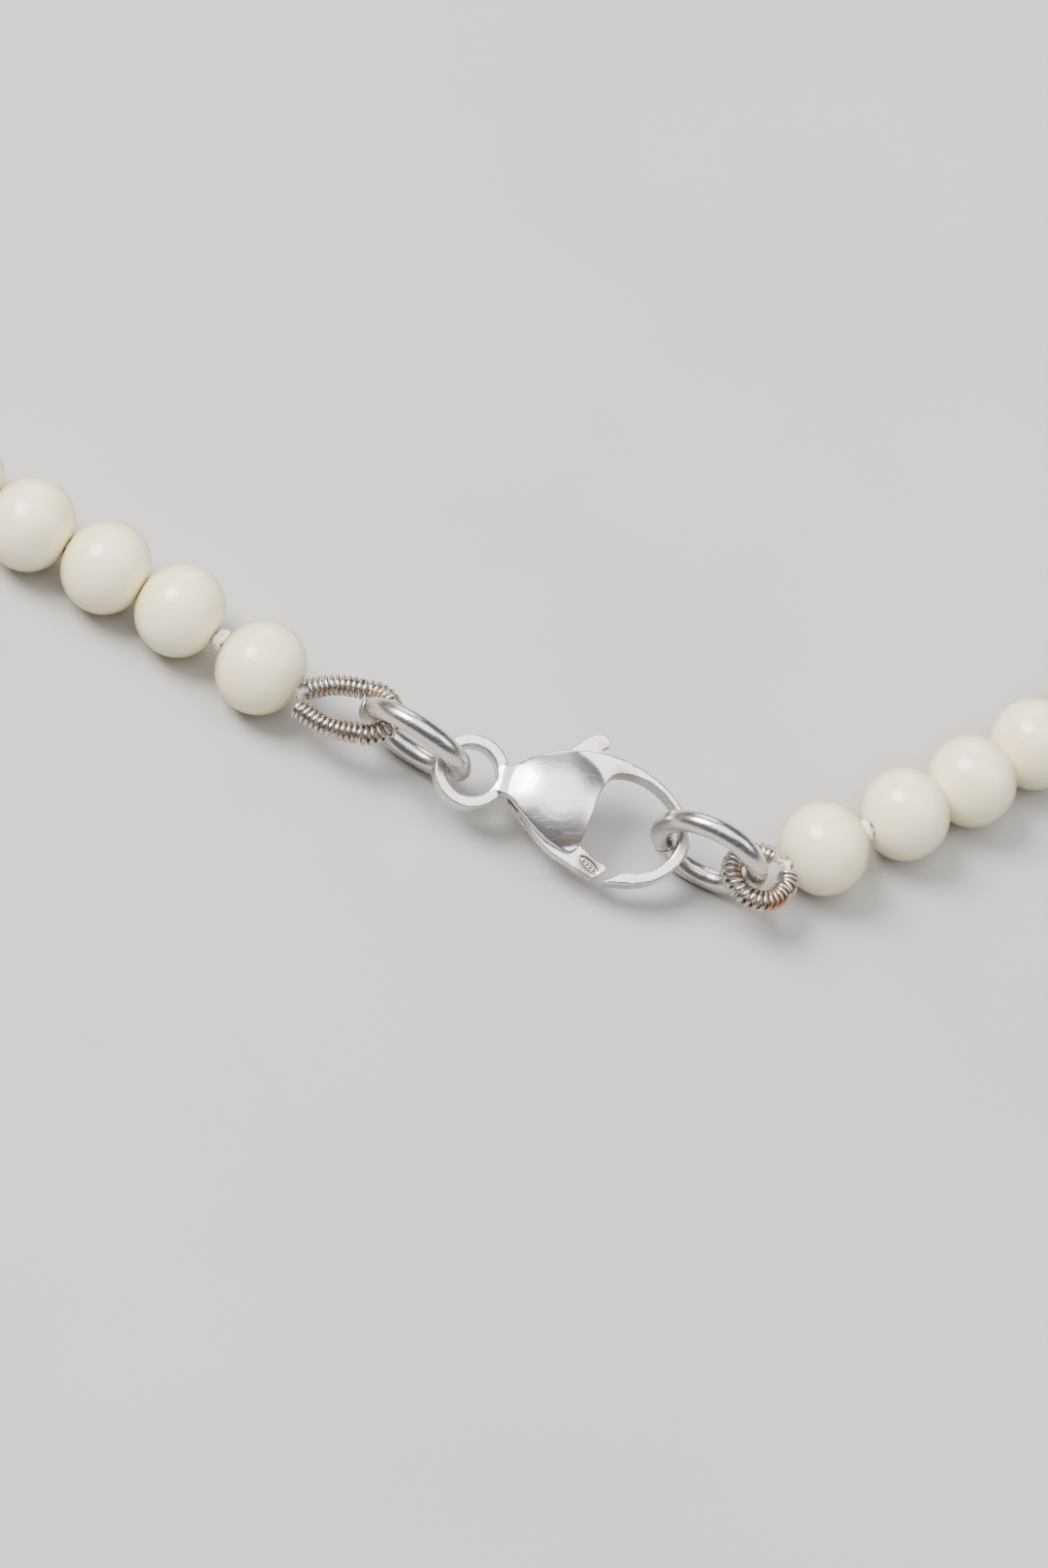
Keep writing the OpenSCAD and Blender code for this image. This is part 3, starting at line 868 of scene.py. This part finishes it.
# the oval recess on the gate with a plain row of pips in it, and the thumb tab's dimple
def markLever(mesh):
    co, local = claspCoordinates(mesh)
    a = math.radians(cartoucheLook["angle"])
    du = local[:, 0] - cartoucheLook["centre"][0]
    dv = local[:, 1] - cartoucheLook["centre"][1]
    x = du * math.cos(a) + dv * math.sin(a)
    y = -du * math.sin(a) + dv * math.cos(a)
    oval = np.sqrt((2 * x / cartoucheLook["length"]) ** 2 + (2 * y / cartoucheLook["width"]) ** 2)
    onTop = smoothStep(local[:, 2], 0.15, 0.3)
    sink = (1 - smoothStep(oval, 0.82, 1.08)) * cartoucheLook["depth"]
    step = cartoucheLook["length"] * 0.72 / cartoucheLook["dots"]
    for k in range(cartoucheLook["dots"]):
        at = (k - (cartoucheLook["dots"] - 1) / 2) * step
        pip = np.exp(-((x - at) ** 2 + y ** 2) / 0.075 ** 2)
        sink = sink - pip * cartoucheLook["depth"] * 0.9
    thumb = np.hypot(local[:, 0] - tabLook["centre"][0], local[:, 1] - tabLook["centre"][1])
    sink = sink + (1 - smoothStep(thumb, 0.1, tabLook["size"])) * tabLook["depth"]
    co = co - np.array(claspNormal) * (sink * onTop * mm)[:, None]
    mesh.vertices.foreach_set("co", co.ravel())
    mesh.update()


claspSilver = makeSilver("claspSilver", silverLook, 0.27, [
    (fromClasp(5.75, -1.9, 1.0), 0.0010, (0.70, 0.48, 0.39), 0.55),
    (fromClasp(5.35, -1.5, 1.1), 0.0008, (0.42, 0.47, 0.55), 0.5),
    (fromClasp(7.6, 1.6, 0.3), 0.0011, (0.42, 0.28, 0.20), 0.75),
    (fromClasp(2.1, 0.2, 0.6), 0.0010, (0.40, 0.38, 0.37), 0.6),
    (fromClasp(11.2, -0.7, 0.0), 0.0009, (0.18, 0.14, 0.12), 0.7)])
leverSilver = makeSilver("leverSilver", silverLook, 0.24, [
    (fromClasp(6.95, -3.12, 0.35), 0.0009, (0.26, 0.21, 0.19), 0.85),
    (fromClasp(6.3, 3.1, 0.3), 0.0005, (0.48, 0.36, 0.30), 0.6)], 1500.0)
ringSilver = makeSilver("ringSilver", ringSilverLook, 0.24, [
    (fromClasp(-1.1, -0.6, 0.0), 0.0009, (0.34, 0.28, 0.25), 0.55)], 1300.0)

claspMesh = castCopy(["clasp_body", "rivet"], "claspCasting", castLook["voxel"], castLook["rounds"])
linkPiece("claspCasting", claspMesh, claspSilver, bodyOf("clasp_body"), "silver", "clasp_body", "rivet")
leverMesh = castCopy(["trigger_lever"], "thumbLever", castLook["leverVoxel"], castLook["leverRounds"])
markLever(leverMesh)
linkPiece("thumbLever", leverMesh, leverSilver, bodyOf("trigger_lever"), "silver", "trigger_lever")
print("clasp and lever are cast")

# the spring round the rivet, as a real coil with two legs

springLook = {
    "centre": (5.1, 1.0),      # mm in the clasp's plane
    "radius": 0.6,
    "wire": 0.12,
    "turns": 3.0,
    "low": 0.0,
    "legDepth": 0.62,
}


def makeSpring(look):
    points = []
    steps = 120
    cu, cv = look["centre"]
    startAngle = math.radians(236)
    endAngle = startAngle + 2 * math.pi * (look["turns"] - 0.1)
    points.append(fromClasp(cu + look["radius"] * math.cos(startAngle),
                            cv + look["radius"] * math.sin(startAngle), look["low"] - 0.28))
    for k in range(steps + 1):
        a = startAngle + (endAngle - startAngle) * k / steps
        rise = look["low"] + look["wire"] * (look["turns"] - 0.1) * k / steps
        points.append(fromClasp(cu + look["radius"] * math.cos(a), cv + look["radius"] * math.sin(a), rise))
    points.append(fromClasp(cu + look["radius"] * math.cos(endAngle),
                            cv + look["radius"] * math.sin(endAngle), look["legDepth"]))
    shape = sweep(points, [look["wire"] / 2 * mm] * len(points), 8)
    spring = makeSilver("springWire", silverLook, 0.3, [], 2500.0)
    linkPiece("leverSpring", meshFrom("leverSpring", *shape), spring, bodyOf("trigger_spring"),
              "spring_steel", "trigger_spring")


makeSpring(springLook)

# jump rings

ringLook = {
    "seamLeft": 200.0,     # degrees round the ring, where its cut ends meet
    "seamRight": 150.0,
    "gap": 0.035,          # mm between the cut ends
    "sides": 40,
    "steps": 150,
    "endShare": 0.93,      # wire thickness at the cut ends, as a share
}


def makeRing(node, name, seam):
    shell = measureShells(node)[0]
    centre, ways, points = shell
    normal = ways[0]
    flat = points - centre
    radial = np.linalg.norm(flat - np.outer(flat @ normal, normal), axis=1)
    wireRadius = np.abs(flat @ normal).max()
    middle = radial.max() - wireRadius
    first = np.cross(normal, (0.0, 0.0, 1.0))
    first /= np.linalg.norm(first)
    second = np.cross(normal, first)
    half = ringLook["gap"] * mm / 2 / middle
    line = []
    radii = []
    for k in range(ringLook["steps"] + 1):
        s = k / ringLook["steps"]
        a = math.radians(seam) + half + (2 * math.pi - 2 * half) * s
        line.append(centre + middle * (math.cos(a) * first + math.sin(a) * second))
        dull = 1 - 0.012 * (0.5 + 0.5 * noise.noise(Vector((math.cos(a), math.sin(a), seam)) * 1.3))
        radii.append(wireRadius * dull)
    for i in (0, -1):
        radii[i] = wireRadius * ringLook["endShare"]
    shape = sweep(line, radii, ringLook["sides"])
    linkPiece(name, meshFrom(name, *shape), ringSilver, bodyOf(node), "silver", node)


makeRing("jump_ring_left", "wireRingLeft", ringLook["seamLeft"])
makeRing("jump_ring_right", "wireRingRight", ringLook["seamRight"])
print("jump rings and spring are made")
